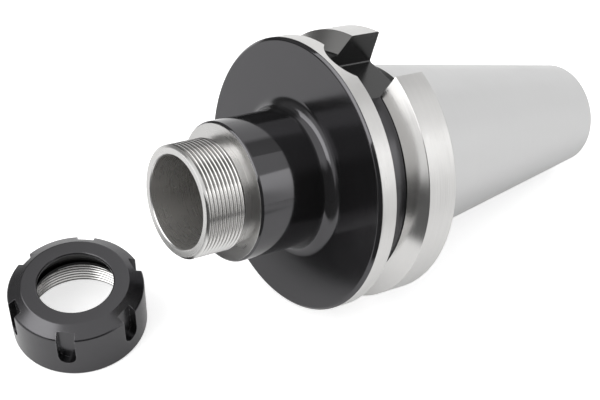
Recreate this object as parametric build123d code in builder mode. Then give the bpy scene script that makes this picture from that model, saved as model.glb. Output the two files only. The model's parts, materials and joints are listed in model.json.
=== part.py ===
from build123d import *
from math import atan, cos, degrees, radians, sin, sqrt, tan
import os

os.makedirs("parts", exist_ok=True)

# Taper shank, in mm: the gauge line is the plane where the taper has its gauge diameter
GAUGE_DIA = 69.85
TAPER_PER_MM = 7 / 24
TAPER_LENGTH = 101.8
END_CHAMFER = 1.0

# Drawbar hole in the small end, with the pull stud's thread at its tap diameter
PILOT_DIA = 25.0
PILOT_DEPTH = 13.4
PILOT_MOUTH_CHAMFER = 1.0
DRAWBAR_TAP_DIA = 20.75
DRAWBAR_DEPTH = 62.0
DRILL_POINT = 118.0

# Flange with the gripper groove and the two driving keyways
COLLAR_DIA = 71.0
FLANGE_REAR = 3.0
FLANGE_DIA = 100.0
FLANGE_FRONT = 38.0
REAR_EDGE_BREAK = 0.5
FRONT_CHAMFER = 1.0
GROOVE_CENTRE = 23.2
GROOVE_WIDTH = 15.0
GROOVE_ANGLE = 60.0
GROOVE_FLOOR_DIA = 85.0
GROOVE_FLOOR_FILLET = 1.0
KEYWAY_WIDTH = 25.7
KEYWAY_FLOOR = 35.4
KEYWAY_END = 35.2
KEYWAY_CORNER_FILLET = 0.8

# Nose: a plain neck, the nut's thread at its full diameter, and the collet's seat
NECK_DIA = 50.0
NECK_FILLET = 5.0
NECK_CHAMFER = 0.7
SHOULDER = 68.3
THREAD_DIA = 40.0
THREAD_PITCH = 1.5
THREAD_CHAMFER = 0.8
UNDERCUT_WIDTH = 2.5
UNDERCUT_FILLET = 0.6
NOSE_FRONT = 86.5
SEAT_MOUTH_DIA = 33.0
SEAT_HALF_ANGLE = 8.0
SEAT_DEPTH = 36.0
SEAT_MOUTH_CHAMFER = 0.4
SHANK_BORE_DIA = 21.0
SHANK_BORE_DEPTH = 66.0
COOLANT_DIA = 12.0

# Clamping nut, measured up from the floor that it stands on
NUT_DIA = 50.0
NUT_HEIGHT = 22.5
NUT_BASE_CHAMFER = 0.6
NUT_BEVEL_HEIGHT = 3.2
NUT_FACE_DIA = 39.4
NUT_MOUTH_DIA = 28.0
NUT_MOUTH_CHAMFER = 0.4
NUT_MOUTH_LAND = 1.2
NUT_CONE_HALF_ANGLE = 30.0
NUT_CONE_HEIGHT = 5.2
RING_GROOVE_DEPTH = 0.8
RING_GROOVE_HEIGHT = 2.5
LIP_DIA = 33.6
LIP_HEIGHT = 1.4
LIP_OFFSET = 0.6
NUT_THREAD_END = 10.0
NUT_THREAD_LEAD = 1.0
NUT_SLOT_COUNT = 6
NUT_SLOT_WIDTH = 6.5
NUT_SLOT_DEPTH = 3.0
NUT_SLOT_END = 6.8
NUT_SLOT_TURN = 53.5

# Where the nut stands: ahead of the nose and to one side of the chuck's axis
NUT_AHEAD = 30.8
NUT_ASIDE = 23.5

# Height of a metric thread's ridge for each millimetre of its pitch
EXTERNAL_RIDGE = 0.6134
INTERNAL_RIDGE = 0.5413


def taper_radius(z):
    """Radius of the 7/24 taper at a distance z in front of the gauge line."""
    return (GAUGE_DIA + z * TAPER_PER_MM) / 2


# The chuck lies on the two rim corners of its lower keyway and on the rim of its small end
keyway_chord = sqrt((FLANGE_DIA / 2) ** 2 - (KEYWAY_WIDTH / 2) ** 2)
rim_z = FLANGE_REAR + REAR_EDGE_BREAK
heel_z = END_CHAMFER - TAPER_LENGTH
tilt = atan((keyway_chord - taper_radius(heel_z)) / (rim_z - heel_z))
gauge_height = keyway_chord * cos(tilt) - rim_z * sin(tilt)

# The origin is under the middle of the pair, so the chuck's gauge point is moved along X
small_end_reach = TAPER_LENGTH * cos(tilt) + (taper_radius(-TAPER_LENGTH) - END_CHAMFER) * sin(tilt)
nut_from_gauge = NOSE_FRONT * cos(tilt) + NUT_AHEAD
gauge_x = (nut_from_gauge + NUT_DIA / 2 - small_end_reach) / 2

# Chuck frame: local Z runs along the axis to the nose, local X is radial and points up
chuck = Plane(
    origin=(gauge_x, 0, gauge_height),
    x_dir=(sin(tilt), 0, cos(tilt)),
    z_dir=(-cos(tilt), 0, sin(tilt)),
)
chuck_axis = Axis(chuck.origin, chuck.z_dir)
chuck_section = Plane(origin=chuck.origin, x_dir=chuck.x_dir, z_dir=-chuck.y_dir)

groove_floor_half = GROOVE_WIDTH / 2 - (FLANGE_DIA - GROOVE_FLOOR_DIA) / 2 * tan(radians(GROOVE_ANGLE / 2))
undercut_radius = THREAD_DIA / 2 - EXTERNAL_RIDGE * THREAD_PITCH - 0.2
collar_step = (COLLAR_DIA - GAUGE_DIA) / 2

with BuildPart() as holder_body:
    # Half section of the outside, from the small end to the nose's front face
    with BuildSketch(chuck_section) as outside:
        with BuildLine():
            Polyline(
                (0, -TAPER_LENGTH),
                (taper_radius(-TAPER_LENGTH) - END_CHAMFER, -TAPER_LENGTH),
                (taper_radius(heel_z), heel_z),
                (GAUGE_DIA / 2, 0),
                (COLLAR_DIA / 2, collar_step),
                (COLLAR_DIA / 2, FLANGE_REAR),
                (FLANGE_DIA / 2 - REAR_EDGE_BREAK, FLANGE_REAR),
                (FLANGE_DIA / 2, rim_z),
                (FLANGE_DIA / 2, GROOVE_CENTRE - GROOVE_WIDTH / 2),
                (GROOVE_FLOOR_DIA / 2, GROOVE_CENTRE - groove_floor_half),
                (GROOVE_FLOOR_DIA / 2, GROOVE_CENTRE + groove_floor_half),
                (FLANGE_DIA / 2, GROOVE_CENTRE + GROOVE_WIDTH / 2),
                (FLANGE_DIA / 2, FLANGE_FRONT - FRONT_CHAMFER),
                (FLANGE_DIA / 2 - FRONT_CHAMFER, FLANGE_FRONT),
                (NECK_DIA / 2, FLANGE_FRONT),
                (NECK_DIA / 2, SHOULDER - NECK_CHAMFER),
                (NECK_DIA / 2 - NECK_CHAMFER, SHOULDER),
                (undercut_radius, SHOULDER),
                (undercut_radius, SHOULDER + UNDERCUT_WIDTH),
                (THREAD_DIA / 2, SHOULDER + UNDERCUT_WIDTH + THREAD_DIA / 2 - undercut_radius),
                (THREAD_DIA / 2, NOSE_FRONT - THREAD_CHAMFER),
                (THREAD_DIA / 2 - THREAD_CHAMFER, NOSE_FRONT),
                (0, NOSE_FRONT),
                close=True,
            )
        make_face()
        corners = outside.vertices()
        groove_floor = corners.filter_by(lambda v: abs(v.X - GROOVE_FLOOR_DIA / 2) < 1e-6)
        fillet(groove_floor, GROOVE_FLOOR_FILLET)
        fillet(corners.sort_by_distance((NECK_DIA / 2, FLANGE_FRONT))[0], NECK_FILLET)
        fillet(corners.sort_by_distance((undercut_radius, SHOULDER))[0], UNDERCUT_FILLET)
    revolve(axis=chuck_axis)

    # Half section of the hole that runs right through: collet seat, shank bore, coolant, drawbar thread
    seat_radius = SEAT_MOUTH_DIA / 2 - SEAT_DEPTH * tan(radians(SEAT_HALF_ANGLE))
    drill_slope = tan(radians(DRILL_POINT / 2))
    bore_floor = NOSE_FRONT - SHANK_BORE_DEPTH
    drawbar_floor = DRAWBAR_DEPTH - TAPER_LENGTH
    pilot_floor = PILOT_DEPTH - TAPER_LENGTH
    with BuildSketch(chuck_section):
        with BuildLine():
            Polyline(
                (0, NOSE_FRONT),
                (SEAT_MOUTH_DIA / 2 + SEAT_MOUTH_CHAMFER, NOSE_FRONT),
                (SEAT_MOUTH_DIA / 2, NOSE_FRONT - SEAT_MOUTH_CHAMFER),
                (seat_radius, NOSE_FRONT - SEAT_DEPTH),
                (SHANK_BORE_DIA / 2, NOSE_FRONT - SEAT_DEPTH),
                (SHANK_BORE_DIA / 2, bore_floor),
                (COOLANT_DIA / 2, bore_floor - (SHANK_BORE_DIA - COOLANT_DIA) / 2 / drill_slope),
                (COOLANT_DIA / 2, drawbar_floor + (DRAWBAR_TAP_DIA - COOLANT_DIA) / 2 / drill_slope),
                (DRAWBAR_TAP_DIA / 2, drawbar_floor),
                (DRAWBAR_TAP_DIA / 2, pilot_floor),
                (PILOT_DIA / 2, pilot_floor),
                (PILOT_DIA / 2, PILOT_MOUTH_CHAMFER - TAPER_LENGTH),
                (PILOT_DIA / 2 + PILOT_MOUTH_CHAMFER, -TAPER_LENGTH),
                (0, -TAPER_LENGTH),
                close=True,
            )
        make_face()
    revolve(axis=chuck_axis, mode=Mode.SUBTRACT)

    # Two keyways, opposite each other, milled from outside and open to the rear
    keyway_planes = [
        Plane(origin=chuck.origin + out * KEYWAY_FLOOR, x_dir=out.cross(chuck.z_dir) * -1, z_dir=out)
        for out in (chuck.x_dir, -chuck.x_dir)
    ]
    round_centre = KEYWAY_END - KEYWAY_WIDTH / 2
    with BuildSketch(*keyway_planes):
        Rectangle(KEYWAY_WIDTH, round_centre, align=(Align.CENTER, Align.MIN))
        with Locations((0, round_centre)):
            Circle(KEYWAY_WIDTH / 2)
    extrude(amount=FLANGE_DIA / 2 - KEYWAY_FLOOR, mode=Mode.SUBTRACT)

    # The long edges between each keyway's floor and its walls are rounded by the cutter
    floor_corners = [
        edge
        for edge in holder_body.edges().filter_by(lambda e: e.length > KEYWAY_WIDTH / 2)
        if any(abs(floor.to_local_coords(edge @ 0.5).Z) < 1e-4 for floor in keyway_planes)
    ]
    fillet(floor_corners, KEYWAY_CORNER_FILLET)

# Nut frame: the nut stands on the floor with its front face up
nut_place = Plane(origin=(gauge_x - nut_from_gauge, NUT_ASIDE, 0))
nut_axis = Axis(nut_place.origin, nut_place.z_dir)
nut_section = Plane(origin=nut_place.origin, x_dir=(1, 0, 0), z_dir=(0, -1, 0))
bevel_foot = NUT_HEIGHT - NUT_BEVEL_HEIGHT

cone_top = NUT_HEIGHT - NUT_MOUTH_LAND
cone_foot = cone_top - NUT_CONE_HEIGHT
cone_radius = NUT_MOUTH_DIA / 2 + NUT_CONE_HEIGHT * tan(radians(NUT_CONE_HALF_ANGLE))
groove_radius = cone_radius + RING_GROOVE_DEPTH
lip_top = cone_foot - RING_GROOVE_HEIGHT
lip_foot = lip_top - LIP_HEIGHT
nut_tap_radius = THREAD_DIA / 2 - INTERNAL_RIDGE * THREAD_PITCH
relief_radius = THREAD_DIA / 2 + 0.3

with BuildPart() as clamping_nut:
    # Half section of the ring, without the lip that draws the collet out
    with BuildSketch(nut_section):
        with BuildLine():
            Polyline(
                (nut_tap_radius + NUT_THREAD_LEAD, 0),
                (NUT_DIA / 2 - NUT_BASE_CHAMFER, 0),
                (NUT_DIA / 2, NUT_BASE_CHAMFER),
                (NUT_DIA / 2, bevel_foot),
                (NUT_FACE_DIA / 2, NUT_HEIGHT),
                (NUT_MOUTH_DIA / 2 + NUT_MOUTH_CHAMFER, NUT_HEIGHT),
                (NUT_MOUTH_DIA / 2, NUT_HEIGHT - NUT_MOUTH_CHAMFER),
                (NUT_MOUTH_DIA / 2, cone_top),
                (cone_radius, cone_foot),
                (groove_radius, cone_foot),
                (groove_radius, lip_foot),
                (relief_radius, lip_foot),
                (relief_radius, NUT_THREAD_END),
                (nut_tap_radius, NUT_THREAD_END),
                (nut_tap_radius, NUT_THREAD_LEAD),
                close=True,
            )
        make_face()
    revolve(axis=nut_axis)

    # The lip's hole is off centre, so that a collet snaps in at one side first
    with BuildSketch(nut_place.offset(lip_foot)):
        Circle(groove_radius)
        with Locations((LIP_OFFSET, 0)):
            Circle(LIP_DIA / 2, mode=Mode.SUBTRACT)
    extrude(amount=LIP_HEIGHT)

    # Spanner slots: flat floors, open at the front, with half-round lower ends
    slot_floor = NUT_DIA / 2 - NUT_SLOT_DEPTH
    slot_centre = NUT_SLOT_END + NUT_SLOT_WIDTH / 2
    slot_planes = []
    for number in range(NUT_SLOT_COUNT):
        turn = radians(NUT_SLOT_TURN + number * 360 / NUT_SLOT_COUNT)
        out = Vector(cos(turn), sin(turn), 0)
        slot_planes.append(
            Plane(origin=nut_place.origin + out * slot_floor, x_dir=(-sin(turn), cos(turn), 0), z_dir=out)
        )
    with BuildSketch(*slot_planes):
        with Locations((0, slot_centre)):
            Circle(NUT_SLOT_WIDTH / 2)
            Rectangle(NUT_SLOT_WIDTH, NUT_HEIGHT - slot_centre, align=(Align.CENTER, Align.MIN))
    extrude(amount=NUT_SLOT_DEPTH, mode=Mode.SUBTRACT)

holder_body.part.label = "holder_body"
clamping_nut.part.label = "clamping_nut"
export_step(holder_body.part, "parts/holder_body.step")
export_step(clamping_nut.part, "parts/clamping_nut.step")
print("tilt of the axis", round(degrees(tilt), 2), "gauge point", [round(v, 3) for v in chuck.origin])
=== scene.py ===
# %% [markdown]
# # A collet chuck and its clamping nut
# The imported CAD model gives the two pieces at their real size. Everything here is drawn around it in the same
# frame: metres, Z up, the origin on the surface that both pieces stand on.

# %% Load the frame
import json
from math import cos, hypot, pi, radians, sin, tan

import bmesh
import bpy
from mathutils import Matrix, Vector


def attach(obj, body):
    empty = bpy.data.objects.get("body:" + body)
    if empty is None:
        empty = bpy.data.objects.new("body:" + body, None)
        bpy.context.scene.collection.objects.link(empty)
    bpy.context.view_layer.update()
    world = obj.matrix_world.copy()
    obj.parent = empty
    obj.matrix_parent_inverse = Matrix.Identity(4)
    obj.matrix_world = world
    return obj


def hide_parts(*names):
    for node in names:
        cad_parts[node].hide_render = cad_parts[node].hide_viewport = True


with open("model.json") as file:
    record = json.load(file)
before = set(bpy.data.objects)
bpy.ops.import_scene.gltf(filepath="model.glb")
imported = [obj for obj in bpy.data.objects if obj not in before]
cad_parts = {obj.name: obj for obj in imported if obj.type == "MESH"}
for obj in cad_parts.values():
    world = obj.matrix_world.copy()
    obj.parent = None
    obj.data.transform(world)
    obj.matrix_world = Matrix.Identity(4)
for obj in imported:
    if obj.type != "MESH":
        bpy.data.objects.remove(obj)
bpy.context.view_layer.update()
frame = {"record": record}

bpy.ops.object.select_all(action="DESELECT")

# %% [markdown]
# ## Where the chuck lies
# The chuck rests on the rim of its flange and on its small end, so its axis leans. The record names the point
# where the taper has its gauge diameter and the way that the taper points. Every ring of the chuck is drawn
# upright about the world's Z axis and laid down by this one matrix at the end, which keeps the sizes easy to
# read.

# %% The chuck's own frame and the nut's
MM = 0.001
mounts = {mount["name"]: mount for mount in frame["record"]["mounts"]}
gauge_point = Vector(mounts["spindle_taper"]["pos_m"])
to_nose = -Vector(mounts["spindle_taper"]["axis"]).normalized()
upwards = Vector((0, 1, 0)).cross(to_nose).normalized()
lay_down = Matrix.Translation(gauge_point) @ Matrix((upwards, (0, 1, 0), to_nose)).transposed().to_4x4()
nut_centre = Vector(mounts["nut_thread"]["pos_m"])
stand_nut = Matrix.Translation((nut_centre.x, nut_centre.y, 0))
print("gauge point", tuple(gauge_point), "nose points to", tuple(to_nose))

# %% [markdown]
# ## Shader sums
# A finish is a small network of nodes. Written with plain operators it reads like arithmetic: this class
# wraps one output socket, and each operator adds the Math node that does the sum. Any other node comes from
# add, and fade is the soft step that most masks are made of.


# %% Sockets that can be added and multiplied
class Flow:
    """One output socket of a shader tree that takes part in sums."""

    def __init__(self, tree, socket):
        self.tree = tree
        self.socket = socket

    def math(self, operation, *terms):
        return add(self.tree, "ShaderNodeMath", {"operation": operation}, dict(enumerate(terms)))

    def __add__(self, other):
        return self.math("ADD", self, other)

    def __radd__(self, other):
        return self.math("ADD", other, self)

    def __sub__(self, other):
        return self.math("SUBTRACT", self, other)

    def __rsub__(self, other):
        return self.math("SUBTRACT", other, self)

    def __mul__(self, other):
        return self.math("MULTIPLY", self, other)

    def __rmul__(self, other):
        return self.math("MULTIPLY", other, self)

    def __truediv__(self, other):
        return self.math("DIVIDE", self, other)

    def __rtruediv__(self, other):
        return self.math("DIVIDE", other, self)


def add(tree, kind, settings=None, sockets=None, output=0):
    """Adds a node: its settings first, then a value or a link for each socket. Returns one output, or all."""
    node = tree.nodes.new(kind)
    for name, value in (settings or {}).items():
        setattr(node, name, value)
    for name, value in (sockets or {}).items():
        if isinstance(value, Flow):
            tree.links.new(value.socket, node.inputs[name])
        else:
            node.inputs[name].default_value = value
    if output == "all":
        return [Flow(tree, socket) for socket in node.outputs]
    return Flow(tree, node.outputs[output]) if node.outputs else None


def fade(value, low, high):
    """0 below low, 1 above high and smooth between."""
    return add(value.tree, "ShaderNodeMapRange", {"interpolation_type": "SMOOTHSTEP"}, {
        "Value": value, "From Min": low, "From Max": high})


# %% [markdown]
# ## Turned coordinates
# Tool marks follow the lathe: they run round the axis and change quickly across it. So each finish first
# turns the object's coordinates into the piece's own frame with a Mapping node, and then into a direction
# round the axis, a distance from it and a height along it. The direction is a pair, cosine and sine, which
# closes without a seam.


# %% Read a piece's coordinates round its axis
def round_the_axis(tree, place):
    """Direction round the axis as cosine and sine, distance from it and height along it, in millimetres."""
    point = add(tree, "ShaderNodeTexCoord", output="Object")
    own = add(tree, "ShaderNodeMapping", {"vector_type": "TEXTURE"}, {
        "Vector": point, "Location": place.translation, "Rotation": place.to_euler()})
    x, y, z = (part * 1000 for part in add(tree, "ShaderNodeSeparateXYZ", None, {0: own}, output="all"))
    above_zero = 1e-4
    squares = x * x + y * y + above_zero
    distance = squares.math("SQRT", squares)
    return x / distance, y / distance, distance, z


def streaks(tree, coordinates, across, along, detail):
    """Noise drawn out round the axis: across is its lines per millimetre, along how often it changes."""
    cosine, sine, distance, height = coordinates
    slant = 0.83
    vector = add(tree, "ShaderNodeCombineXYZ", None, {
        0: cosine * along, 1: sine * along, 2: (distance + height * slant) * across})
    return add(tree, "ShaderNodeTexNoise", None, {
        "Vector": vector, "Scale": 1.0, "Detail": detail, "Roughness": 0.6}, output="Fac")


# %% [markdown]
# ## Steel and black oxide
# The real chuck is hardened steel, blackened all over in a hot bath and then ground bright where it must be
# true: on the taper, the flange's lands, the groove's flanks and the nose. Black oxide is a thin dark
# mineral on steel, so it still reflects like a dark metal. Both finishes are therefore metals: one pale, one
# nearly black. What changes over them is a fine lathe or grinding streak in tone, roughness and bump.
#
# Three things break the evenness. The black edges are painted paler: partly worn, partly a painted edge
# highlight where a rounded edge would catch the light. The black coat and the collet's seat scatter a share of
# the light instead of mirroring it. And a thread is painted darker towards its root: painted shade in the
# crease.

# %% A metal finish with marks that run round the axis
# How far the painted paling of an edge reaches, and how much metal it loses: partly worn, partly a painted
# highlight.
EDGE_WEAR_AND_HIGHLIGHT_WIDTH = 0.6
EDGE_WEAR_AND_HIGHLIGHT_METAL_LOSS = 0.6
BROAD_SHARE = 0.12
CLOUD_SCALE = 90.0
# How dark the painted shade at a thread's root is.
ROOT_PAINTED_SHADE = 0.6


def worn_and_highlit_edge_mask(tree, coordinates):
    """1 on a sharp edge and 0 away from it, broken up by a fine noise: worn paling and a painted edge
    highlight.
    """
    rounded = add(tree, "ShaderNodeBevel", {"samples": 6}, {"Radius": EDGE_WEAR_AND_HIGHLIGHT_WIDTH * MM})
    plain = add(tree, "ShaderNodeNewGeometry", output="Normal")
    same = add(tree, "ShaderNodeVectorMath", {"operation": "DOT_PRODUCT"}, {0: rounded, 1: plain},
               output="Value")
    return fade(1 - same, 0.02, 0.2) * fade(streaks(tree, coordinates, 1.2, 9.0, 4), 0.4, 0.62)


def metal(name, place, tone, roughness, across, depth, spread=0.03, mottle=0.02, tint=(1, 1, 1), wear_and_highlight=0.0,
          scatter=0.0, painted_shade_roots=None):
    """A metal of one tone with turning marks: across of them per millimetre, depth deep in millimetres.

    wear is how much paler the edges are painted, partly worn and partly a painted edge highlight, scatter the
    share of light that isn't mirrored, and roots the two radii between which a thread goes from its root,
    darkened by painted shade, to its crest."""
    material = bpy.data.materials.new(name)
    material.use_nodes = True
    tree = material.node_tree
    shader = tree.nodes["Principled BSDF"]
    coordinates = round_the_axis(tree, place)
    fine = streaks(tree, coordinates, across, 1.5, 3)
    broad = streaks(tree, coordinates, across * BROAD_SHARE, 2.5, 2)
    cloud_point = add(tree, "ShaderNodeTexCoord", output="Object")
    cloud = add(tree, "ShaderNodeTexNoise", None, {
        "Vector": cloud_point, "Scale": CLOUD_SCALE, "Detail": 4.0, "Roughness": 0.55}, output="Fac")
    shade = 1 + (fine - 0.5) * spread * 2 + (broad - 0.5) * spread + (cloud - 0.5) * mottle * 2
    # Edges are painted paler and less metallic: partly worn, partly a painted highlight.
    if wear_and_highlight:
        worn_and_highlit_edge = worn_and_highlit_edge_mask(tree, coordinates)
        shade = shade * (1 + worn_and_highlit_edge * (wear_and_highlight / tone))
        tree.links.new((1 - scatter - worn_and_highlit_edge * EDGE_WEAR_AND_HIGHLIGHT_METAL_LOSS).socket, shader.inputs["Metallic"])
    else:
        shader.inputs["Metallic"].default_value = 1 - scatter
    # The thread is painted darker towards its root: painted shade between the ridges.
    if painted_shade_roots:
        away_from_root = fade(coordinates[2], min(painted_shade_roots), max(painted_shade_roots))
        shade = shade * (ROOT_PAINTED_SHADE + (1 - ROOT_PAINTED_SHADE) * (away_from_root if painted_shade_roots[0] < painted_shade_roots[1] else 1 - away_from_root))
    even = tuple(tone * part for part in tint)
    colour = add(tree, "ShaderNodeVectorMath", {"operation": "SCALE"}, {"Vector": even, "Scale": shade})
    tree.links.new(colour.socket, shader.inputs["Base Color"])
    rough = roughness * (1 + (fine - 0.5) * 0.5 + (cloud - 0.5) * 0.5)
    tree.links.new(rough.socket, shader.inputs["Roughness"])
    bump = add(tree, "ShaderNodeBump", None, {
        "Height": fine + broad * 0.5, "Distance": depth * MM, "Strength": 1.0})
    tree.links.new(bump.socket, shader.inputs["Normal"])
    return material


# %% [markdown]
# Each surface of the real pieces gets its own finish. The first two numbers are the tone and the roughness,
# the next two how fine and how deep its marks are. STRAW warms a tone a little and BLUISH cools it.

# %% The finishes
STRAW = (1.01, 1.0, 0.985)
BLUISH = (1.0, 0.985, 1.03)
GROUND = metal("ground_steel", lay_down, 0.58, 0.36, 5.0, 0.004, spread=0.02)
LAND = metal("ground_land", lay_down, 0.62, 0.32, 3.0, 0.08, spread=0.06, tint=STRAW)
FLANK = metal("ground_flank", lay_down, 0.62, 0.16, 4.0, 0.0006, tint=STRAW)
NOSE = metal("turned_nose_steel", lay_down, 0.60, 0.28, 3.0, 0.003, tint=STRAW)
STEP = metal("turned_shoulder", lay_down, 0.55, 0.30, 3.0, 0.003, tint=STRAW)
# The nose's thread is painted darker towards its root: painted shade between the ridges.
THREAD = metal("thread_steel", lay_down, 0.66, 0.13, 3.0, 0.0005, tint=STRAW, painted_shade_roots=(19.2, 19.8))
BORE = metal("ground_seat_steel", lay_down, 0.46, 0.28, 4.0, 0.004, mottle=0.05, tint=(1.02, 1.0, 0.97),
             scatter=0.2)
DEEP = metal("drilled_steel", lay_down, 0.25, 0.35, 2.0, 0.006)
# The black finishes below have their edges painted paler: partly worn, partly a painted edge highlight.
FACE = metal("black_turned_face", lay_down, 0.082, 0.16, 3.0, 0.0015, mottle=0.03, tint=BLUISH, wear_and_highlight=0.12,
             scatter=0.1)
BLACK = metal("black_neck", lay_down, 0.08, 0.07, 2.0, 0.0004, mottle=0.03, tint=BLUISH, wear_and_highlight=0.12,
              scatter=0.1)
MILLED = metal("black_milled_keyway", lay_down, 0.052, 0.24, 2.0, 0.002, mottle=0.04, wear_and_highlight=0.15,
               scatter=0.1)
GROOVE = metal("black_groove_floor", lay_down, 0.072, 0.18, 2.5, 0.003, mottle=0.03, tint=BLUISH,
               scatter=0.1)
# This black is painted darker than the rest: painted shade in the collar's recess under the flange and in the
# crease at the groove's floor.
DULL_PAINTED_SHADE = metal("dull_black_painted_shade", lay_down, 0.02, 0.45, 2.0, 0.002)
NUT_BLACK = metal("black_nut", stand_nut, 0.082, 0.22, 3.0, 0.002, tint=BLUISH, wear_and_highlight=0.15, scatter=0.1)
# This black is painted darker than the nut's outside: painted shade inside the mouth, on the cone, the groove
# and the lip.
NUT_MOUTH_PAINTED_SHADE = metal("black_nut_mouth_painted_shade", stand_nut, 0.02, 0.35, 2.0, 0.002)
# The nut's thread is painted darker towards its root: painted shade between the ridges.
NUT_BRIGHT = metal("nut_thread_steel", stand_nut, 0.56, 0.14, 3.0, 0.001, tint=STRAW, painted_shade_roots=(19.95, 19.4))
print("finishes:", len(bpy.data.materials))

# %% [markdown]
# ## Turning
# A lathe makes a shape one ring at a time, and so does this helper: a circle of edges is extruded along the
# axis and scaled to the next radius, again and again, round the outside and back through the bore, until it
# meets its own start. Each band between two rings gets the finish that the real surface has.

# %% Turn a piece ring by ring
AROUND = 256
MERGE = 0.01
RING_NEAR = 0.02


def turn(name, rings, sides=AROUND):
    """Turns a closed piece about Z. A ring is radius, height, finish of the band before it, shift along X."""
    first = rings[0]
    bpy.ops.mesh.primitive_circle_add(
        vertices=sides, radius=first[0] * MM, fill_type="NOTHING", location=(0, 0, first[1] * MM))
    piece = bpy.context.object
    piece.name = name
    bpy.ops.object.transform_apply()
    bpy.ops.object.mode_set(mode="EDIT")
    bpy.ops.mesh.select_all(action="SELECT")
    for last, ring in zip(rings, rings[1:]):
        shift = (ring[3] if len(ring) > 3 else 0) - (last[3] if len(last) > 3 else 0)
        step = (shift * MM, 0, (ring[1] - last[1]) * MM)
        bpy.ops.mesh.extrude_edges_move(TRANSFORM_OT_translate={"value": step})
        grow = ring[0] / last[0]
        bpy.ops.transform.resize(value=(grow, grow, 1))
    bpy.ops.object.mode_set(mode="OBJECT")
    finishes = [ring[2] for ring in rings[1:]]
    used = list(dict.fromkeys(finishes))
    for finish in used:
        piece.data.materials.append(finish)
    for face in piece.data.polygons:
        face.material_index = used.index(finishes[face.index // sides])
    bpy.ops.object.mode_set(mode="EDIT")
    bpy.ops.mesh.select_all(action="SELECT")
    bpy.ops.mesh.remove_doubles(threshold=MERGE * MM)
    bpy.ops.mesh.normals_make_consistent(inside=False)
    bpy.ops.object.mode_set(mode="OBJECT")
    print(name, "turned from", len(rings), "rings,", len(piece.data.polygons), "faces")
    return piece


def round_ring(piece, radius, height, width, segments):
    """Rounds the corner at one ring: width is how far the rounding reaches from the corner."""
    bpy.context.view_layer.objects.active = piece
    bpy.ops.object.mode_set(mode="EDIT")
    bpy.ops.mesh.select_mode(type="EDGE")
    bpy.ops.mesh.select_all(action="DESELECT")
    mesh = bmesh.from_edit_mesh(piece.data)
    for edge in mesh.edges:
        edge.select = all(
            abs(hypot(vertex.co.x, vertex.co.y) - radius * MM) < RING_NEAR * MM
            and abs(vertex.co.z - height * MM) < RING_NEAR * MM for vertex in edge.verts)
    bmesh.update_edit_mesh(piece.data)
    if not any(edge.select for edge in mesh.edges):
        raise ValueError(f"no ring at radius {radius} and height {height}")
    bpy.ops.mesh.bevel(offset=width * MM, segments=segments, affect="EDGES", clamp_overlap=False)
    bpy.ops.object.mode_set(mode="OBJECT")


# %% [markdown]
# ## The chuck's outside and bore
# Heights are measured from the gauge line, where the 7/24 taper is 69.85 mm across: the small end is below
# it and the nose above. The profile goes up the outside and comes back down the bore.

# %% Sizes of the holder, in millimetres
GAUGE_RADIUS = 34.925
TAPER_LENGTH = 101.8
END_CHAMFER = 1
COLLAR_RADIUS = 35.5
COLLAR_START = 0.575
FLANGE_RADIUS = 50.0
FLANGE_REAR = 3.0
REAR_BREAK = 0.5
GROOVE_REAR = 15.7
GROOVE_FRONT = 30.7
GROOVE_RADIUS = 42.5
GROOVE_FLOOR_REAR = 20.03
GROOVE_FLOOR_FRONT = 26.37
FLANGE_FRONT = 38.0
FRONT_CHAMFER = 1.0
KEYWAY_FLOOR = 35.4
KEYWAY_HALF = 12.85
KEYWAY_END = 35.2
NECK_RADIUS = 25.0
NECK_END = 67.6
NECK_END_RADIUS = 24.3
SHOULDER = 68.3
UNDERCUT_RADIUS = 18.88
UNDERCUT_WIDTH = 2.5
THREAD_RADIUS = 20.0
THREAD_ROOT = 19.08
PITCH = 1.5
NOSE_FRONT = 86.5
NOSE_CHAMFER = 0.12
SEAT_MOUTH = 16.5
SEAT_CHAMFER = 0.4
SEAT_DEPTH = 36
SEAT_HALF_ANGLE = 8
SHANK_BORE = 10.5
SHANK_BORE_FLOOR = 20.5
COOLANT_HOLE = 6.0
COOLANT_TOP = 17.8
COOLANT_FOOT = -37.17
DRAWBAR_HOLE = 10.375
DRAWBAR_FLOOR = -39.8
PILOT = 12.5
PILOT_FLOOR = -88.4


def taper_radius(height):
    """Radius of the taper at a height above the gauge line."""
    return GAUGE_RADIUS + height * 7 / 48


# %% [markdown]
# Each ring is a radius, a height and the finish of the band that leads up to it.

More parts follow.
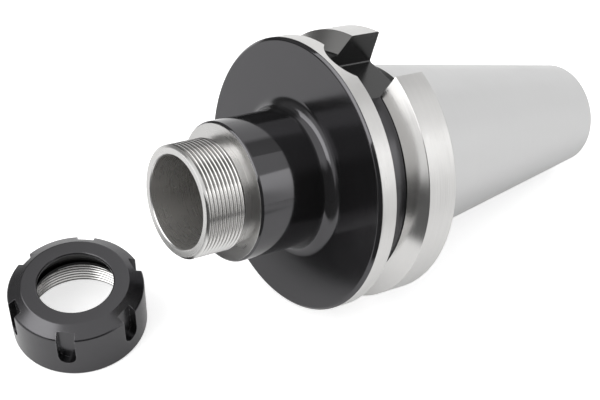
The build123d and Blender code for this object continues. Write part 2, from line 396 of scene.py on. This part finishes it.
# %% The holder's rings
end_radius = taper_radius(-TAPER_LENGTH)
seat_back = SEAT_MOUTH - SEAT_DEPTH * tan(radians(SEAT_HALF_ANGLE))
outside = [
    (PILOT + END_CHAMFER, -TAPER_LENGTH, None),
    (end_radius - END_CHAMFER, -TAPER_LENGTH, FACE),
    (taper_radius(END_CHAMFER - TAPER_LENGTH), END_CHAMFER - TAPER_LENGTH, FACE),
    (GAUGE_RADIUS, 0, GROUND),
    # The collar under the flange and the round where the groove's floor meets its rear flank get the black
    # painted darker: painted shade in a recess and a crease.
    (COLLAR_RADIUS, COLLAR_START, DULL_PAINTED_SHADE),
    (COLLAR_RADIUS, FLANGE_REAR, DULL_PAINTED_SHADE),
    (FLANGE_RADIUS - REAR_BREAK, FLANGE_REAR, FACE),
    (FLANGE_RADIUS, FLANGE_REAR + REAR_BREAK, BLACK),
    (FLANGE_RADIUS, GROOVE_REAR, LAND),
    (GROOVE_RADIUS + 0.45, 19.77, FLANK),
    (GROOVE_RADIUS, GROOVE_FLOOR_REAR, DULL_PAINTED_SHADE),
    (GROOVE_RADIUS, GROOVE_FLOOR_FRONT, GROOVE),
    (FLANGE_RADIUS, GROOVE_FRONT, FLANK),
    (FLANGE_RADIUS, FLANGE_FRONT - FRONT_CHAMFER, LAND),
    (FLANGE_RADIUS - FRONT_CHAMFER, FLANGE_FRONT, BLACK),
    (NECK_RADIUS, FLANGE_FRONT, FACE),
    (NECK_RADIUS, NECK_END, BLACK),
    (NECK_END_RADIUS, SHOULDER, BLACK),
    (UNDERCUT_RADIUS, SHOULDER, STEP),
    (UNDERCUT_RADIUS, SHOULDER + UNDERCUT_WIDTH, NOSE),
    (THREAD_ROOT, SHOULDER + 2.7, NOSE),
    (THREAD_ROOT, NOSE_FRONT - NOSE_CHAMFER, THREAD),
    (THREAD_ROOT - NOSE_CHAMFER, NOSE_FRONT, NOSE),
    (SEAT_MOUTH + SEAT_CHAMFER, NOSE_FRONT, NOSE),
]
bore = [
    (SEAT_MOUTH, NOSE_FRONT - SEAT_CHAMFER, NOSE),
    (seat_back, NOSE_FRONT - SEAT_DEPTH, BORE),
    (SHANK_BORE, NOSE_FRONT - SEAT_DEPTH, DEEP),
    (SHANK_BORE, SHANK_BORE_FLOOR, DEEP),
    (COOLANT_HOLE, COOLANT_TOP, DEEP),
    (COOLANT_HOLE, COOLANT_FOOT, DEEP),
    (DRAWBAR_HOLE, DRAWBAR_FLOOR, DEEP),
    (DRAWBAR_HOLE, PILOT_FLOOR, DEEP),
    (PILOT, PILOT_FLOOR, DEEP),
    (PILOT, END_CHAMFER - TAPER_LENGTH, DEEP),
    (PILOT + END_CHAMFER, -TAPER_LENGTH, DEEP),
]
print("rings outside:", len(outside), "and in the bore:", len(bore))

# %% [markdown]
# The rings give sharp corners. The real ones are broken by a stone or a tool's nose, and these small
# rounds are what catches the light: the fillet where the neck meets the flange, the rim's chamfer with its
# two soft edges, and the floor of the gripper groove. Each row is a ring, how far the round reaches from it
# and its number of segments.

# %% Turn the holder and round its corners
holder = turn("chuck_body", outside + bore)
for ring in (
    (NECK_RADIUS, FLANGE_FRONT, 5.0, 12),
    (FLANGE_RADIUS - FRONT_CHAMFER, FLANGE_FRONT, 0.35, 4),
    (FLANGE_RADIUS, FLANGE_FRONT - FRONT_CHAMFER, 0.3, 4),
    (FLANGE_RADIUS, GROOVE_FRONT, 0.2, 3),
    (GROOVE_RADIUS, GROOVE_FLOOR_FRONT, 0.55, 4),
    (GROOVE_RADIUS, GROOVE_FLOOR_REAR, 0.16, 3),
    (FLANGE_RADIUS, GROOVE_REAR, 0.2, 3),
    (FLANGE_RADIUS, FLANGE_REAR + REAR_BREAK, 0.25, 3),
    (FLANGE_RADIUS - REAR_BREAK, FLANGE_REAR, 0.25, 3),
    (NECK_RADIUS, NECK_END, 0.25, 3),
    (NECK_END_RADIUS, SHOULDER, 0.15, 3),
    (UNDERCUT_RADIUS, SHOULDER, 0.08, 2),
    (SEAT_MOUTH + SEAT_CHAMFER, NOSE_FRONT, 0.1, 2),
    (SEAT_MOUTH, NOSE_FRONT - SEAT_CHAMFER, 0.1, 2),
    (taper_radius(END_CHAMFER - TAPER_LENGTH), END_CHAMFER - TAPER_LENGTH, 0.3, 3),
):
    round_ring(holder, *ring)
print("after rounding", len(holder.data.polygons), "faces")

# %% [markdown]
# ## The driving keyways
# Two slots are milled through the flange from outside, one above and one below. The end of each is half
# round, like the cutter. A cylinder is cut in half and its flat side pulled out into the cutter's path, and a
# Boolean modifier takes that away from the flange. The new faces get the tool's own satin black finish,
# because the modifier transfers its material. The path starts a tenth of a millimetre behind the flange's
# rear face, so it goes right through that face and hardly touches the collar.

# %% Mill the two keyways
ROUND_CENTRE = KEYWAY_END - KEYWAY_HALF
KEYWAY_START = 2.9
KEYWAY_CORNER = 0.8
OUTSIDE_FLANGE = 55.0
FACE_NEAR = 0.001


def cutter(name, half_width, start, round_centre, inner, outer, finish, sides=48, corner=0.0):
    """A slot cutter's sweep: a half-round end at round_centre and a straight run to start, along Z."""
    bpy.ops.mesh.primitive_cylinder_add(
        vertices=sides, radius=half_width * MM, depth=(outer - inner) * MM,
        location=((inner + outer) / 2 * MM, 0, round_centre * MM), rotation=(0, pi / 2, 0))
    sweep = bpy.context.object
    sweep.name = name
    bpy.ops.object.transform_apply()
    bpy.ops.object.mode_set(mode="EDIT")
    bpy.ops.mesh.select_mode(type="FACE")
    bpy.ops.mesh.select_all(action="SELECT")
    away = -1 if start < round_centre else 1
    bpy.ops.mesh.bisect(
        plane_co=(0, 0, round_centre * MM), plane_no=(0, 0, away), clear_outer=True, use_fill=True)
    mesh = bmesh.from_edit_mesh(sweep.data)
    for face in mesh.faces:
        face.select = abs(face.calc_center_median().z - round_centre * MM) < FACE_NEAR * MM
    bmesh.update_edit_mesh(sweep.data)
    bpy.ops.mesh.extrude_region_move(
        TRANSFORM_OT_translate={"value": (0, 0, (start - round_centre) * MM)})
    bpy.ops.mesh.select_all(action="SELECT")
    bpy.ops.mesh.normals_make_consistent(inside=False)
    if corner:
        bpy.ops.mesh.select_mode(type="EDGE")
        bpy.ops.mesh.select_all(action="DESELECT")
        mesh = bmesh.from_edit_mesh(sweep.data)
        for edge in mesh.edges:
            on_floor = all(abs(vertex.co.x - inner * MM) < FACE_NEAR * MM for vertex in edge.verts)
            at_start = all(abs(vertex.co.z - start * MM) < FACE_NEAR * MM for vertex in edge.verts)
            edge.select = (
                on_floor and not at_start and len(edge.link_faces) == 2 and edge.calc_face_angle() > 1)
        bmesh.update_edit_mesh(sweep.data)
        bpy.ops.mesh.bevel(offset=corner * MM, segments=3, affect="EDGES")
    bpy.ops.object.mode_set(mode="OBJECT")
    sweep.data.materials.append(finish)
    return sweep


def cut(piece, tool):
    """Takes the tool's shape away from a piece and removes the tool."""
    bpy.ops.object.select_all(action="DESELECT")
    bpy.context.view_layer.objects.active = piece
    piece.select_set(True)
    boolean = piece.modifiers.new("cut", "BOOLEAN")
    boolean.operation = "DIFFERENCE"
    boolean.solver = "EXACT"
    boolean.material_mode = "TRANSFER"
    boolean.object = tool
    bpy.ops.object.modifier_apply(modifier=boolean.name)
    bpy.data.objects.remove(tool)
    print(piece.name, "after the cut:", len(piece.data.polygons), "faces")


for turned_by in (0, pi):
    keyway = cutter("keyway_cutter", KEYWAY_HALF, KEYWAY_START, ROUND_CENTRE, KEYWAY_FLOOR, OUTSIDE_FLANGE,
                    MILLED, sides=96, corner=KEYWAY_CORNER)
    keyway.data.transform(Matrix.Rotation(turned_by, 4, "Z"))
    cut(holder, keyway)

# %% [markdown]
# ## The threads
# A thread is one ridge wound round the nose. The Screw modifier winds a small closed profile round the axis
# and lifts it by one pitch each turn. The profile's foot is sunk into the body and its crest is narrowed in
# two steps, which rounds it. The ridge starts and ends too far out, so a Boolean keeps only what lies inside
# a turned sleeve. The sleeve is wider than the crest, so it trims nothing but the two ends.

# %% Wind a thread ridge and trim it with a turned sleeve
SUNK = 0.12
CREST_STEP = 0.15
SLEEVE_SIDES = 200
WIND_STEPS = 256
SLIVER = 0.0005


def wind_thread(name, root, crest, bottom, top, finish, sleeve):
    """A right-hand ridge from root to crest radius, wound from bottom to top, trimmed by a turned sleeve."""
    turns = int((top - bottom) / PITCH) + 2
    foot, neck, land = 0.45 * PITCH, 0.17 * PITCH, 0.07 * PITCH
    outwards = 1 if crest > root else -1
    base, shoulder = root - SUNK * outwards, crest - CREST_STEP * outwards
    bpy.ops.mesh.primitive_circle_add(vertices=6, fill_type="NGON")
    ridge = bpy.context.object
    ridge.name = name
    for vertex, (radius, height) in zip(ridge.data.vertices, (
            (base, -foot), (shoulder, -neck), (crest, -land), (crest, land), (shoulder, neck), (base, foot))):
        vertex.co = (radius * MM, 0, (bottom - PITCH + height) * MM)
    screw = ridge.modifiers.new("wind", "SCREW")
    screw.screw_offset = PITCH * MM
    screw.iterations = turns
    screw.steps = screw.render_steps = WIND_STEPS
    screw.use_smooth_shade = False
    bpy.ops.object.modifier_apply(modifier=screw.name)
    bpy.ops.object.mode_set(mode="EDIT")
    bpy.ops.mesh.select_all(action="SELECT")
    bpy.ops.mesh.fill_holes(sides=6)
    bpy.ops.mesh.select_all(action="SELECT")
    bpy.ops.mesh.normals_make_consistent(inside=False)
    bpy.ops.object.mode_set(mode="OBJECT")
    ridge.data.materials.append(finish)
    trim = ridge.modifiers.new("trim", "BOOLEAN")
    trim.operation = "INTERSECT"
    trim.solver = "EXACT"
    trim.material_mode = "TRANSFER"
    trim.object = sleeve
    bpy.ops.object.modifier_apply(modifier=trim.name)
    bpy.data.objects.remove(sleeve)
    bpy.ops.object.mode_set(mode="EDIT")
    bpy.ops.mesh.select_all(action="SELECT")
    bpy.ops.mesh.dissolve_degenerate(threshold=SLIVER * MM)
    bpy.ops.object.mode_set(mode="OBJECT")
    print(name, "has", len(ridge.data.polygons), "faces in", turns, "turns")
    return ridge


# %% [markdown]
# The nose's sleeve opens over the undercut in a slope, and closes at the front in another that starts 0.822
# mm behind the face. The second slope is the chamfer on the thread's first turn.

# %% The nose's thread
SLEEVE_INSIDE = 18.5
SLEEVE_OUTSIDE = 20.5
SLEEVE_REAR = 70.9
FRONT_CLEAR = 0.05
nose_sleeve = turn("nose_sleeve", [
    (SLEEVE_INSIDE, SLEEVE_REAR, None),
    (19.1, SLEEVE_REAR, THREAD),
    (SLEEVE_OUTSIDE, 72.3, THREAD),
    (SLEEVE_OUTSIDE, NOSE_FRONT - 0.822, THREAD),
    (THREAD_ROOT, NOSE_FRONT - FRONT_CLEAR, NOSE),
    (SLEEVE_INSIDE, NOSE_FRONT - FRONT_CLEAR, NOSE),
    (SLEEVE_INSIDE, SLEEVE_REAR, NOSE),
], sides=SLEEVE_SIDES)
nose_ridge = wind_thread("nose_thread", THREAD_ROOT, THREAD_RADIUS, 71.0, 86.4, THREAD, nose_sleeve)

# %% [markdown]
# ## The clamping nut
# The nut is turned in the same way: up the outside, over the bevelled front, down through the mouth, the 30
# degree cone that presses the collet, the groove for the collet's rim, the lip and the thread. The lip's
# hole stands a little to one side, which is how a collet is snapped in.

# %% Sizes of the nut and its turned shape
NUT_RADIUS = 25.0
NUT_BASE_CHAMFER = 0.6
NUT_HEIGHT = 22.5
BEVEL_FOOT = 19.3
NUT_FACE_RADIUS = 19.7
NUT_MOUTH = 14.0
NUT_MOUTH_CHAMFER = 0.4
CONE_TOP = 21.3
CONE_FOOT = 16.1
CONE_RADIUS = 17.002
RIM_GROOVE = 17.802
LIP_TOP = 13.6
LIP_FOOT = 12.2
LIP_RADIUS = 16.8
LIP_SHIFT = 0.6
RELIEF = 20.3
NUT_THREAD_TOP = 10.0
NUT_LEAD = 20.19
NUT_TAP = 19.19
# Inside the mouth, the cone, the groove and the lip take the black painted darker: painted shade.
nut = turn("slotted_nut", [
    (NUT_LEAD, 0.0, None),
    (24.4, 0.0, NUT_BLACK),
    (NUT_RADIUS, NUT_BASE_CHAMFER, NUT_BLACK),
    (NUT_RADIUS, BEVEL_FOOT, NUT_BLACK),
    (NUT_FACE_RADIUS, NUT_HEIGHT, NUT_BLACK),
    (NUT_MOUTH + NUT_MOUTH_CHAMFER, NUT_HEIGHT, NUT_BLACK),
    (NUT_MOUTH, NUT_HEIGHT - NUT_MOUTH_CHAMFER, NUT_BLACK),
    (NUT_MOUTH, CONE_TOP, NUT_BLACK),
    (CONE_RADIUS, CONE_FOOT, NUT_MOUTH_PAINTED_SHADE),
    (RIM_GROOVE, CONE_FOOT, NUT_MOUTH_PAINTED_SHADE),
    (RIM_GROOVE, LIP_TOP, NUT_MOUTH_PAINTED_SHADE),
    (LIP_RADIUS, LIP_TOP, NUT_MOUTH_PAINTED_SHADE, LIP_SHIFT),
    (LIP_RADIUS, LIP_FOOT, NUT_MOUTH_PAINTED_SHADE, LIP_SHIFT),
    (RELIEF, LIP_FOOT, NUT_BRIGHT),
    (RELIEF, NUT_THREAD_TOP, NUT_BRIGHT),
    (THREAD_RADIUS, NUT_THREAD_TOP, NUT_BRIGHT),
    (THREAD_RADIUS, 0.19, NUT_BRIGHT),
    (NUT_LEAD, 0.0, NUT_BRIGHT),
])
for ring in (
    (NUT_RADIUS, BEVEL_FOOT, 0.65, 5),
    (NUT_FACE_RADIUS, NUT_HEIGHT, 0.25, 3),
    (NUT_MOUTH + NUT_MOUTH_CHAMFER, NUT_HEIGHT, 0.12, 2),
    (NUT_MOUTH, NUT_HEIGHT - NUT_MOUTH_CHAMFER, 0.12, 2),
    (NUT_MOUTH, CONE_TOP, 0.15, 2),
    (NUT_RADIUS, NUT_BASE_CHAMFER, 0.2, 2),
):
    round_ring(nut, *ring)

# %% [markdown]
# Six spanner slots are milled into the nut's side, each with a flat floor, open at the front and half round
# at its lower end. The nut's thread is wound inwards, and its sleeve leaves it a lead-in slope at the foot.

# %% Mill the nut's slots and wind its thread
SLOT_COUNT = 6
SLOT_FLOOR = 22.0
SLOT_HALF = 3.25
SLOT_CENTRE = 6.8 + SLOT_HALF
SLOT_TURN = 53.5
ABOVE_NUT = 24.0
OUTSIDE_NUT = 28.0
for number in range(SLOT_COUNT):
    slot = cutter("slot_cutter", SLOT_HALF, ABOVE_NUT, SLOT_CENTRE, SLOT_FLOOR, OUTSIDE_NUT, NUT_BLACK)
    slot.data.transform(Matrix.Rotation(radians(SLOT_TURN + 360 / SLOT_COUNT * number), 4, "Z"))
    cut(nut, slot)
NUT_SLEEVE_INSIDE = 18.69
NUT_SLEEVE_TOP = 9.95
nut_sleeve = turn("nut_sleeve", [
    (SLEEVE_OUTSIDE, 0.0, None),
    (NUT_LEAD, 0.0, NUT_BRIGHT),
    (NUT_SLEEVE_INSIDE, 1.5, NUT_BRIGHT),
    (NUT_SLEEVE_INSIDE, 9.546, NUT_BRIGHT),
    (THREAD_RADIUS, NUT_SLEEVE_TOP, NUT_BRIGHT),
    (SLEEVE_OUTSIDE, NUT_SLEEVE_TOP, NUT_BRIGHT),
    (SLEEVE_OUTSIDE, 0.0, NUT_BRIGHT),
], sides=SLEEVE_SIDES)
nut_ridge = wind_thread("nut_thread", THREAD_RADIUS, NUT_TAP, 0.0, NUT_THREAD_TOP, NUT_BRIGHT, nut_sleeve)

# %% [markdown]
# ## Put the pieces in place
# The thread ridges are joined to their pieces, each piece is moved to where the CAD has it, and smooth
# shading is kept off the corners. Smooth shading alone would lean the long faces' normals towards the tiny
# rounds beside them, and polished metal would then show the wrong part of the room. The Weighted Normal
# modifier lets the large faces win. Then each piece rides on its body and stands in for its CAD node.

# %% Join, place and shade
SHARP_FROM = 28


def finish_piece(piece, ridge, place, body, node):
    """Joins the thread's ridge, lays the piece in place and ties it to the CAD body and node."""
    bpy.ops.object.select_all(action="DESELECT")
    ridge.select_set(True)
    piece.select_set(True)
    bpy.context.view_layer.objects.active = piece
    bpy.ops.object.join()
    piece.matrix_world = place
    bpy.ops.object.transform_apply()
    bpy.ops.object.shade_smooth_by_angle(angle=radians(SHARP_FROM))
    weighted = piece.modifiers.new("true_reflections", "WEIGHTED_NORMAL")
    weighted.keep_sharp = True
    bpy.ops.object.modifier_apply(modifier=weighted.name)
    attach(piece, body)
    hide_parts(node)
    triangles = sum(len(face.vertices) - 2 for face in piece.data.polygons)
    print(piece.name, "has", triangles, "triangles")


finish_piece(holder, nose_ridge, lay_down, "chuck", "holder_body")
finish_piece(nut, nut_ridge, stand_nut, "nut", "clamping_nut")

# %% [markdown]
# ## The room that the metal shows
# Polished metal has no colour of its own to speak of: it shows the room. So the room is laid out like the
# studio that the photograph's reflections tell of. Pale cloths hang behind, on the right and on the left. The
# one between those behind and on the right is darker from 22 degrees upwards. A narrow strip of light leans
# on the right, brightest near its top, and the wall behind on the left is only a little lighter than the
# rest. Overhead is a pale ceiling. Azimuth is measured from +X towards +Y and elevation up from the horizon,
# both in degrees. The camera itself sees plain white.


# %% A direction decides how bright the room is
def toward(azimuth, elevation):
    """The unit vector towards an azimuth and an elevation."""
    a, e = radians(azimuth), radians(elevation)
    return Vector((cos(a) * cos(e), sin(a) * cos(e), sin(e)))


def between(value, low, high, edge):
    """1 between low and high, 0 outside, with soft edges."""
    return fade(value, low - edge, low + edge) * (1 - fade(value, high - edge, high + edge))


def in_degrees(angle):
    """An angle in radians as degrees."""
    return angle.math("DEGREES", angle)


# %% [markdown]
# The world's Generated coordinate is the direction that a ray leaves in. From it come the azimuth, the same
# angle counted from the west, and the elevation, and each cloth is a band between two of them.

# %% The room
world = bpy.context.scene.world or bpy.data.worlds.new("room")
bpy.context.scene.world = world
world.use_nodes = True
tree = world.node_tree
tree.nodes.clear()
way = add(tree, "ShaderNodeTexCoord", output="Generated")
east, north, up = add(tree, "ShaderNodeSeparateXYZ", None, {0: way}, output="all")
azimuth = in_degrees(north.math("ARCTAN2", north, east))
from_west = in_degrees(north.math("ARCTAN2", -1 * north, -1 * east))
elevation = in_degrees(up.math("ARCSINE", up))
back_cloth = between(azimuth, 28, 68, 4)
right_cloth = between(azimuth, -66, -2, 1) * 0.9
low_cloth = between(azimuth, -2, 28, 2) * (1 - fade(elevation, 22, 34) * 0.7)
left_cloth = between(from_west, -39, 20, 3) * fade(elevation, 6, 14) * 0.9
left_wall = between(azimuth, 88, 136, 4) * fade(elevation, 2, 14) * 0.16
leaning = azimuth + 46.7 - elevation * 0.41
strip = between(leaning, -8, 6, 1) * fade(elevation, -12, 32) * (1 - fade(elevation, 31, 32)) * 1.55
walls = 0.12 + back_cloth + right_cloth + low_cloth + left_cloth + left_wall + strip
ceiling = fade(elevation, 37, 58)
room = walls * (1 - ceiling) + ceiling * 1.05
camera_ray = add(tree, "ShaderNodeLightPath", output="Is Camera Ray")
strength = camera_ray.math("MAXIMUM", room, camera_ray)
background = add(tree, "ShaderNodeBackground", None, {"Color": (1, 1, 1, 1), "Strength": strength})
add(tree, "ShaderNodeOutputWorld", None, {"Surface": background})
print("the room has", len(tree.nodes), "nodes")

# %% [markdown]
# ## The floor
# The floor is pale paper. Its own glow makes it white for the camera, while the light that falls on it keeps
# the soft shadow. For reflections the paper ends in two places: a little in front of the nut, where metal
# sees the dark table beyond, which gives the groove's rear flank its dark band, and slowly, far away to the
# left.

# %% A pale floor that keeps the shadow
PAPER = 0.88
TABLE = 0.12
GLOW_FOR_CAMERA = 0.62
GLOW_IN_METAL = 0.17
bpy.ops.mesh.primitive_plane_add(size=6)
floor = bpy.context.object
floor.name = "floor"
paper = bpy.data.materials.new("pale_floor")
paper.use_nodes = True
tree = paper.node_tree
tree.nodes.clear()
spot = add(tree, "ShaderNodeTexCoord", output="Object")
reach = add(tree, "ShaderNodeVectorMath", {"operation": "DOT_PRODUCT"}, {0: spot, 1: toward(-125, 0)},
            output="Value")
aside = add(tree, "ShaderNodeVectorMath", {"operation": "DOT_PRODUCT"}, {0: spot, 1: toward(-35, 0)},
            output="Value")
turned = in_degrees(aside.math("ARCTAN2", aside, reach))
distance = add(tree, "ShaderNodeVectorMath", {"operation": "LENGTH"}, {0: spot}, output="Value")
camera_ray = add(tree, "ShaderNodeLightPath", output="Is Camera Ray")
glossy_ray = add(tree, "ShaderNodeLightPath", output="Is Glossy Ray")
front = fade(reach, 0.14, 0.185) * between(turned, -75, 58, 6)
left = fade(distance, 0.35, 0.9) * between(turned, -150, -60, 6)
beyond = front.math("MAXIMUM", front, left) * glossy_ray
pale = PAPER * (1 - beyond) + TABLE * beyond
shade = add(tree, "ShaderNodeCombineColor", None, {0: pale, 1: pale, 2: pale})
diffuse = add(tree, "ShaderNodeBsdfDiffuse", None, {"Color": shade})
glow = add(tree, "ShaderNodeEmission", None, {
    "Color": (1, 1, 1, 1),
    "Strength": camera_ray * GLOW_FOR_CAMERA + glossy_ray * GLOW_IN_METAL * (1 - beyond)})
both = add(tree, "ShaderNodeAddShader", None, {0: diffuse, 1: glow})
add(tree, "ShaderNodeOutputMaterial", None, {"Surface": both})
floor.data.materials.append(paper)
print("the floor's finish has", len(tree.nodes), "nodes")

# %% [markdown]
# ## A soft box
# One large lamp hangs high on the left. It draws the pale streak in the fillet and on the rim's chamfer.

# %% Hang the soft box
LAMP_AIM = Vector((-0.02, 0, 0.05))
LAMP_WAY = toward(157, 50)
LAMP_DISTANCE = 2.0
LAMP_WIDTH = 2.7
LAMP_HEIGHT = 0.92
LAMP_BRIGHTNESS = 2.5
bpy.ops.object.light_add(type="AREA", location=LAMP_AIM + LAMP_WAY * LAMP_DISTANCE)
lamp = bpy.context.object
lamp.name = "box_left"
lamp.rotation_euler = LAMP_WAY.to_track_quat("Z", "Y").to_euler()
lamp.data.shape = "RECTANGLE"
lamp.data.size = LAMP_WIDTH
lamp.data.size_y = LAMP_HEIGHT
lamp.data.energy = LAMP_BRIGHTNESS * pi * LAMP_WIDTH * LAMP_HEIGHT
lamp.visible_camera = False
print(lamp.name, "at", tuple(round(v, 2) for v in lamp.location), "watts", round(lamp.data.energy, 2))

# %% [markdown]
# ## Camera
# The camera looks down at the pair from the nose's end with a slight roll, as in the photograph. Its lens is
# worked out from the distance of the picture plane in pixels, for a picture 600 pixels wide.

# %% Camera
CAMERA_PLACE = Vector((-0.21195, -0.27745, 0.40158))
CAMERA_WAY = Vector((0.39891, 0.55821, -0.72751))
CAMERA_ROLL = 2.213
PLANE_DISTANCE = 1343
PICTURE_WIDTH = 600
SENSOR_WIDTH = 36
bpy.ops.object.camera_add(location=CAMERA_PLACE)
camera = bpy.context.object
camera.rotation_euler = CAMERA_WAY.to_track_quat("-Z", "Y").to_euler()
camera.rotation_euler.rotate_axis("Z", radians(CAMERA_ROLL))
camera.data.sensor_width = SENSOR_WIDTH
camera.data.lens = PLANE_DISTANCE / PICTURE_WIDTH * SENSOR_WIDTH
camera.data.clip_start = 0.01
bpy.context.scene.camera = camera
bpy.context.scene.view_settings.view_transform = "Standard"
print("lens", round(camera.data.lens, 2), "mm")
